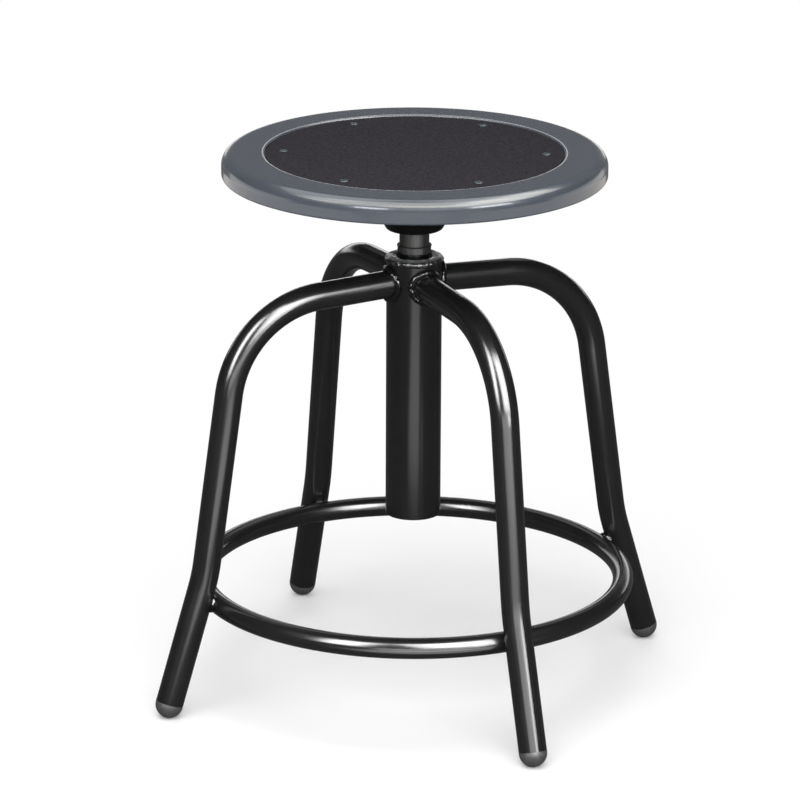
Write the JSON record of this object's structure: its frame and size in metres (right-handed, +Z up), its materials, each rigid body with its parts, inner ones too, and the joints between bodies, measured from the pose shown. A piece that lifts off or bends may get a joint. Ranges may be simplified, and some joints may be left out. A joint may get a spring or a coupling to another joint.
{
  "type": "swivel stool",
  "caption": "Round-seated swivel stool with a bent tube frame, a foot ring and a screw that lifts the seat as it turns.",
  "frame": {"origin": "on the floor, under the middle of the column", "axes": "+Z up along the column; the legs stand at 45 degrees to X and Y; -Y is towards the side that the picture's camera stands on, 19.1 degrees to its left"},
  "size_m": [0.4102, 0.4102, 0.5064],
  "materials": {
    "frame_coat": "gloss black powder coat on steel tube",
    "weld_coat": "lumpy weld bead under the gloss black coat",
    "glide_plastic": "dark grey moulded plastic with a soft sheen",
    "nut_steel": "machined steel, oiled",
    "guide_nylon": "natural nylon",
    "screw_steel": "dark bright-rolled steel with an oil film",
    "plated_steel": "zinc plated",
    "neck_steel": "dark grey turned steel, semi-gloss",
    "bracket_coat": "satin black paint on pressed steel",
    "seat_paint": "gloss blue-grey metallic enamel",
    "insert_board": "charcoal board with a fine woven grain",
    "rivet_steel": "blue-grey steel rivet heads"
  },
  "bodies": {
    "frame": {"column_tube": "frame_coat", "column_nut": "nut_steel", "column_weld": "weld_coat", "column_cap": "glide_plastic", "foot_ring": "frame_coat", "leg_back_right": "frame_coat", "leg_back_left": "frame_coat", "leg_front_left": "frame_coat", "leg_front_right": "frame_coat", "leg_weld_back_right": "weld_coat", "leg_weld_back_left": "weld_coat", "leg_weld_front_left": "weld_coat", "leg_weld_front_right": "weld_coat", "ring_weld_back_right": "weld_coat", "ring_weld_back_left": "weld_coat", "ring_weld_front_left": "weld_coat", "ring_weld_front_right": "weld_coat", "foot_glide_back_right": "glide_plastic", "foot_glide_back_left": "glide_plastic", "foot_glide_front_left": "glide_plastic", "foot_glide_front_right": "glide_plastic"},
    "lift_guide": {"guide_bush": "guide_nylon"},
    "seat": {"spindle_screw": "screw_steel", "upper_washer": "plated_steel", "lower_washer": "plated_steel", "stop_nut": "plated_steel", "stop_collar": "neck_steel", "neck_sleeve": "neck_steel", "neck_pin": "plated_steel", "seat_bracket": "bracket_coat", "bracket_weld": "bracket_coat", "backing_plate": "bracket_coat", "bracket_studs": "plated_steel", "bracket_washers": "plated_steel", "bracket_nuts": "plated_steel", "seat_pan": "seat_paint", "seat_insert": "insert_board", "insert_rivets": "rivet_steel"}
  },
  "joints": [
    {"name": "seat_lift", "type": "slide", "parent": "frame", "child": "lift_guide", "axis": [0, 0, 1], "range_m": [-0.00476, 0.14764]},
    {"name": "seat_turn", "type": "hinge", "parent": "lift_guide", "child": "seat", "pos_m": [0, 0, 0.3], "axis": [0, 0, 1], "range_deg": [-270, 8370]}
  ],
  "couplings": [
    {"joint": "seat_lift", "follows": "seat_turn", "m_per_rad": 0.0010106}
  ]
}
